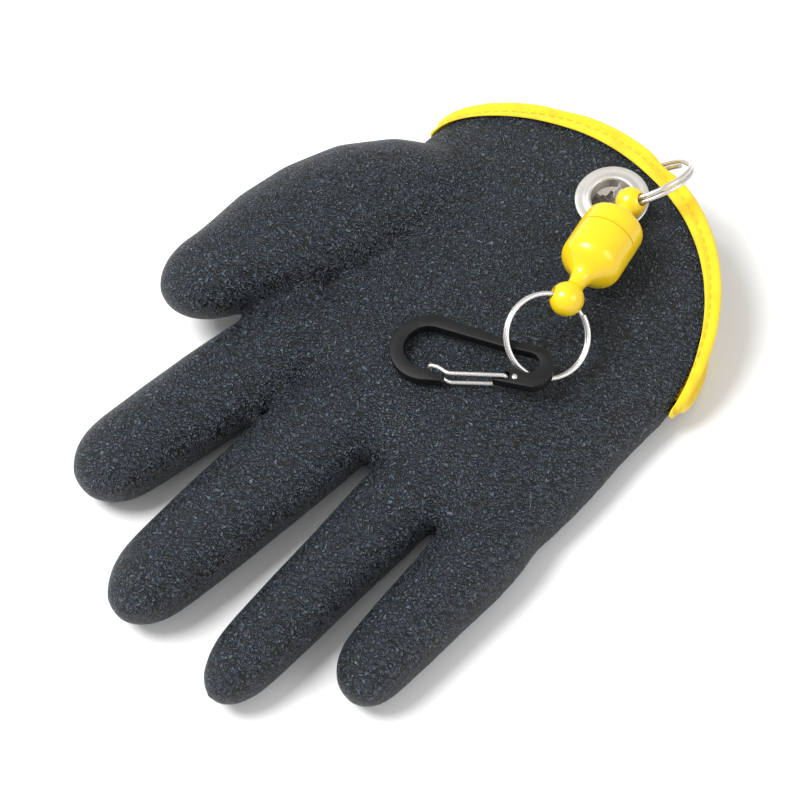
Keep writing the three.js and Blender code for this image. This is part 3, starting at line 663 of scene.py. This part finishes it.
def makeEyelet():
    hole, tube, rim, seat = eyelet["hole"], eyelet["tube"], eyelet["rim"], eyelet["seat"]
    top, lip, back = seat + eyelet["sheet"], seat + eyelet["lip"], eyelet["back"]
    ring = softProfile([
        (hole, back - 0.4), (hole, lip - 0.5), (hole + 0.4, lip), (hole + 1.15, lip), (hole + 1.75, top + 0.05),
        (hole + 2.3, top - 0.16), (rim - 1.2, top - 0.1), (rim - 0.3, top - 0.2), (rim, seat + 0.2),
        (rim - 0.5, seat), (tube, seat), (tube, back), (eyelet["curl"], back), (eyelet["curl"], back - 0.8),
        (hole, back - 0.8), (hole, back - 0.4)], eyelet["round"])
    piece = spun("eyelet", ring, eyelet["steps"])
    settleAt(piece, eyelet["at"], eyelet["turn"])
    smoothShade(piece, 50)
    paint = metalPaint("nickelPlate", eyelet["colour"], eyelet["rough"], eyelet["metallic"])
    dress(piece, paint, "glove", "nickel", "grommet")


makeEyelet()
print("stage: eyelet")


# Split rings: two coils of bright wire side by side
splitRing = {
    "radius": 12.1, "wireRadius": 0.7, "sides": 3, "pitch": 1.6, "crossing": 40, "steps": 84,
    "colour": (0.80, 0.77, 0.74), "rough": 0.26, "metallic": 0.85,
}
cuffRing = {"start": 200, "at": (6.636, -85.930, 28.593), "turn": (0.702280, 0.251011, 0.280743, 0.604135)}
clipRing = {"start": 40, "at": (-16.315, -25.364, 29.844), "turn": (0.645875, 0.163063, -0.246020, -0.704081)}


def makeSplitRing(name, ring, node):
    start, crossing = math.radians(ring["start"]), math.radians(splitRing["crossing"])
    radius, count = splitRing["radius"], 2 * splitRing["steps"]
    points = []
    for i in range(count + 1):
        angle = i / count * (4 * math.pi - crossing)
        t = min(max((angle - (2 * math.pi - crossing)) / crossing, 0), 1)
        across = t * t * (3 - 2 * t) - 0.5
        points.append((radius * math.cos(start + angle), radius * math.sin(start + angle),
                       across * splitRing["pitch"]))
    piece = wirePiece(name, points, splitRing["wireRadius"], splitRing["sides"])
    settleAt(piece, ring["at"], ring["turn"])
    smoothShade(piece, 50)
    dress(piece, steelPaint, "glove", "steel", node)


steelPaint = metalPaint("springSteel", splitRing["colour"], splitRing["rough"], splitRing["metallic"])
makeSplitRing("cuffSplitRing", cuffRing, "cuff_split_ring")
makeSplitRing("clipSplitRing", clipRing, "clip_split_ring")
print("stage: split rings")


# Magnetic connector: two turned halves, each with a neck and a pierced ball
connector = {
    "at": (4.212, -74.359, 31.169), "turn": (0.718440, -0.666405, -0.135582, 0.146168),
    "barrel": 9.25, "neck": 2.5, "upperBall": 4.5, "lowerBall": 5.0, "spacing": 42.0,
    "seam": 16.8, "seamGap": 0.12, "upperCap": 7.6, "lowerCap": 8.8, "bell": 7.6, "steps": 112,
    "hole": 1.9, "holeSides": 40, "holeLength": 22, "upperHoleTurn": 25.261, "lowerHoleTurn": 32.0,
    "colour": (0.87, 0.63, 0.004), "shadeTone": (0.83, 0.53, 0.002), "rough": 0.24, "coat": 0.35, "coatRough": 0.08,
    "cloud": 5.0, "cloudRough": 0.1, "dimple": 0.9, "depth": 0.015,
}


def connectorPaint():
    paint = Paint("connectorPlastic")
    paint.shader.inputs["Coat Weight"].default_value = connector["coat"]
    paint.shader.inputs["Coat Roughness"].default_value = connector["coatRough"]
    at = paint.place()
    cloud = paint.noise(at, connector["cloud"], 2.0)
    dimples = paint.noise(at, connector["dimple"], 2.0)
    # Painted shade: the darker tone is the shaded side's colour, mixed in over the body in random clouds
    tint = paint.mix(cloud, connector["shadeTone"], connector["colour"])
    return paint.set(Base_Color=tint, Roughness=cloud * connector["cloudRough"] + connector["rough"],
                     Normal=paint.bump(dimples, connector["depth"]))


# A straight hole that follows a ring's wire through a ball, set in by half of the wire's bow there
def ringHole(ring, degrees):
    angle, turn, radius = math.radians(degrees), Quaternion(ring["turn"]), splitRing["radius"]
    outward = turn @ Vector((math.cos(angle), math.sin(angle), 0))
    along = turn @ Vector((-math.sin(angle), math.cos(angle), 0))
    inset = connector["lowerBall"] ** 2 / (4 * radius)
    middle = Vector(ring["at"]) + outward * (radius - inset)
    cutter = cylinder(connector["holeSides"], connector["hole"], connector["holeLength"])
    side = along.cross(outward)
    cutter.matrix_world = Matrix.Translation(middle * mm) @ Matrix((outward, side, along)).transposed().to_4x4()
    applyPlace()
    return cutter


def makeConnector():
    neck, barrel, seam = connector["neck"], connector["barrel"], connector["seam"]
    ball = connector["upperBall"]
    shoulder = seam - connector["upperCap"]
    paint = connectorPaint()
    upper = arc(0, 0, ball, -90, 52, 22) + softProfile([
        (neck + 0.28, ball * 0.8), (neck + 0.05, ball + 1.2), (neck + 0.1, shoulder - 1.4),
        (neck + 0.9, shoulder - 0.35), (0.62 * barrel, shoulder - 0.02)], 1.1, 5) + [
        (0.76 * barrel, shoulder + 0.12), (0.86 * barrel, shoulder + 0.36), (0.93 * barrel, shoulder + 0.78),
        (0.97 * barrel, shoulder + 1.35), (0.993 * barrel, shoulder + 2.1), (barrel, shoulder + 3.0),
        (barrel, seam - connector["seamGap"] - 0.14), (barrel - 0.14, seam - connector["seamGap"]),
        (0, seam - connector["seamGap"])]
    piece = spun("upperHalf", upper, connector["steps"])
    settleAt(piece, connector["at"], connector["turn"])
    cutBy(piece, ringHole(cuffRing, connector["upperHoleTurn"]))
    smoothShade(piece, 40)
    dress(piece, paint, "glove", "connector", "magnet_upper_half")

    ball, far = connector["lowerBall"], connector["spacing"]
    bell, length = seam + connector["lowerCap"], connector["bell"]
    lower = [(0, seam + connector["seamGap"]), (barrel - 0.14, seam + connector["seamGap"]),
             (barrel, seam + connector["seamGap"] + 0.14), (barrel, bell - 1.2)]
    lower += [(r * barrel, bell + h * length) for r, h in (
        (1.0, 0.0), (0.992, 0.12), (0.968, 0.24), (0.92, 0.35), (0.845, 0.46), (0.74, 0.56), (0.61, 0.67),
        (0.48, 0.78), (0.385, 0.89), (0.33, 1.0))]
    lower += [(neck + 0.2, bell + length + 1.3), (neck + 0.02, bell + length + 2.6),
              (neck + 0.08, far - ball + 0.1), (neck + 0.35, far - ball * 0.83)]
    lower += arc(0, far, ball, -54, 90, 24)
    piece = spun("lowerHalf", lower, connector["steps"])
    settleAt(piece, connector["at"], connector["turn"])
    cutBy(piece, ringHole(clipRing, connector["lowerHoleTurn"]))
    smoothShade(piece, 40)
    dress(piece, paint, "glove", "connector", "magnet_lower_half")


makeConnector()
print("stage: connector")


# Carabiner: a flat plate with broken edges, laid where its ring lets it rest
clip = {
    "at": (-20.436, -15.184, 27.550), "turn": (0.950169, -0.031492, 0.037299, 0.307891),
    "bigX": 29.5, "bigR": 11.0, "innerR": 7.0, "smallR": 7.2, "loopR": 3.36, "armEnd": 9.07, "noseEnd": 22.57,
    "band": 4.0, "thick": 3.2, "edge": 0.28, "pivot": (2.808, 4.4), "bore": 0.9, "boreSides": 32,
    "slotR": 2.4, "slotDepth": 1.8, "slotTurns": (16, 11, 6, 1, -4, -9),
    "colour": (0.0025, 0.0025, 0.0028), "mottle": (0.007, 0.007, 0.0078), "rough": 0.36, "specular": 0.3,
    "smear": 4.0, "smearRough": 0.14, "grain": 0.3, "depth": 0.02,
    "gateRadius": 0.6, "gateBend": 1.1, "rivet": 0.85, "rivetFlat": 0.45,
    "gatePath": ((2.808, 4.4, 1.6), (2.808, 4.4, -2.5), (21.37, 7.92, -2.5), (24.77, 6.43, -2.5),
                 (27.3, 6.43, -2.5), (27.3, 6.43, 2.5), (24.77, 6.43, 2.5), (21.37, 7.92, 2.5),
                 (5.12, 5.06, 2.5), (5.12, 5.06, 0.1)),
}


def clipOutline():
    big, inner, small, loop = clip["bigR"], clip["innerR"], clip["smallR"], clip["loopR"]
    bigX, nose, arm, band = clip["bigX"], clip["noseEnd"], clip["armEnd"], clip["band"]
    armTop = 0.92 * small
    points = [(nose, 0.93 * big)]
    points += arcPoints(bigX, 0, big, 102, -98, 40)
    points += [(1.22 * small, -1.035 * small)]
    points += arcPoints(0, 0, small, -80, -248, 34)
    points += [(arm - 0.32, armTop), (arm, armTop - 0.7), (arm - 0.9 * band, armTop - 1.06 * band)]
    points += arcPoints(0.15 * loop, -0.34 * loop, loop, 62, 272, 34)
    points += [(1.17 * small, -0.66 * small)]
    points += arcPoints(bigX, 0, inner, -98, 84, 36)
    points += [(nose, 0.745 * big)]
    return points


def arcPoints(x, y, radius, start, end, steps):
    turns = [math.radians(start + (end - start) * i / steps) for i in range(steps + 1)]
    return [(x + radius * math.cos(t), y + radius * math.sin(t)) for t in turns]


def anodisedPaint():
    paint = Paint("blackAnodised", Metallic=0.0)
    paint.shader.inputs["Specular IOR Level"].default_value = clip["specular"]
    at = paint.place()
    smear = paint.noise(at, clip["smear"], 3.0)
    grain = paint.noise(at, clip["grain"], 2.0)
    tint = paint.mix(smear * 0.7 + grain * 0.2, clip["colour"], clip["mottle"])
    return paint.set(Base_Color=tint, Roughness=smear * clip["smearRough"] + clip["rough"],
                     Normal=paint.bump(grain, clip["depth"]))


def drill(piece, x, y, low, high):
    bit = cylinder(clip["boreSides"], clip["bore"], high - low, (x, y, (low + high) / 2))
    applyPlace()
    cutBy(piece, bit)


def makeClip():
    curve = bpy.data.curves.new("carabinerPlate", "CURVE")
    curve.dimensions = "2D"
    curve.fill_mode = "BOTH"
    curve.extrude = (clip["thick"] / 2 - clip["edge"]) * mm
    curve.bevel_depth = clip["edge"] * mm
    curve.bevel_resolution = 2
    curve.offset = -clip["edge"] * mm
    outline = clipOutline()
    spline = curve.splines.new("POLY")
    spline.points.add(len(outline) - 1)
    for point, (x, y) in zip(spline.points, outline):
        point.co = (x * mm, y * mm, 0, 1)
    spline.use_cyclic_u = True
    piece = meshOfCurve("carabinerPlate", curve)
    x, y = clip["pivot"]
    half, reach = clip["thick"] / 2, clip["slotR"]
    drill(piece, x, y, -2 * half, 2 * half)
    for turn in clip["slotTurns"]:
        angle = math.radians(turn)
        drill(piece, x + reach * math.cos(angle), y + reach * math.sin(angle),
              half - clip["slotDepth"], 2 * half)
    settleAt(piece, clip["at"], clip["turn"])
    smoothShade(piece, 28)
    dress(piece, anodisedPaint(), "glove", "anodised", "carabiner_body")


def makeGate():
    path = clip["gatePath"]
    wire = wirePiece("carabinerGate", rounded(path, clip["gateBend"], 6), clip["gateRadius"], 4)
    deselectAll()
    bpy.ops.mesh.primitive_uv_sphere_add(segments=24, ring_count=12, radius=clip["rivet"] * mm,
                                         location=[c * mm for c in path[0]])
    bpy.context.object.scale.z = clip["rivetFlat"]
    applyPlace()
    wire.select_set(True)
    bpy.context.view_layer.objects.active = wire
    bpy.ops.object.join()
    piece = bpy.context.object
    settleAt(piece, clip["at"], clip["turn"])
    smoothShade(piece, 50)
    dress(piece, steelPaint, "gate", "steel", "carabiner_gate")


makeClip()
makeGate()
print("stage: carabiner")


# A pale floor, a soft sky and a large lamp from the upper left
studio = {
    "floor": 0.86, "floorSize": 6, "floorRough": 0.8, "sky": 0.62,
    "key": {"place": (0.5, 0.55, 1.1), "size": 0.7, "power": 21.0},
    "fill": {"place": (-0.9, -0.5, 0.9), "size": 0.8, "power": 5.0},
}


def addLamp(name, place, size, power):
    data = bpy.data.lights.new(name, "AREA")
    data.shape = "DISK"
    data.size = size
    data.energy = power
    lamp = linked(name, data)
    lamp.location = place
    lamp.rotation_euler = (-Vector(place)).to_track_quat("-Z", "Y").to_euler()


def makeStudio():
    deselectAll()
    bpy.ops.mesh.primitive_plane_add(size=studio["floorSize"])
    floor = bpy.context.object
    floor.name = "floor"
    paint = Paint("paleFloor", Roughness=studio["floorRough"])
    floor.data.materials.append(paint.set(Base_Color=(studio["floor"],) * 3 + (1,)))
    world = bpy.data.worlds.new("sky")
    world.use_nodes = True
    world.node_tree.nodes["Background"].inputs["Color"].default_value = (1, 1, 1, 1)
    world.node_tree.nodes["Background"].inputs["Strength"].default_value = studio["sky"]
    bpy.context.scene.world = world
    for name in ("key", "fill"):
        addLamp(name, **studio[name])
    bpy.context.scene.view_settings.view_transform = "Standard"


makeStudio()
print("stage: studio ready")
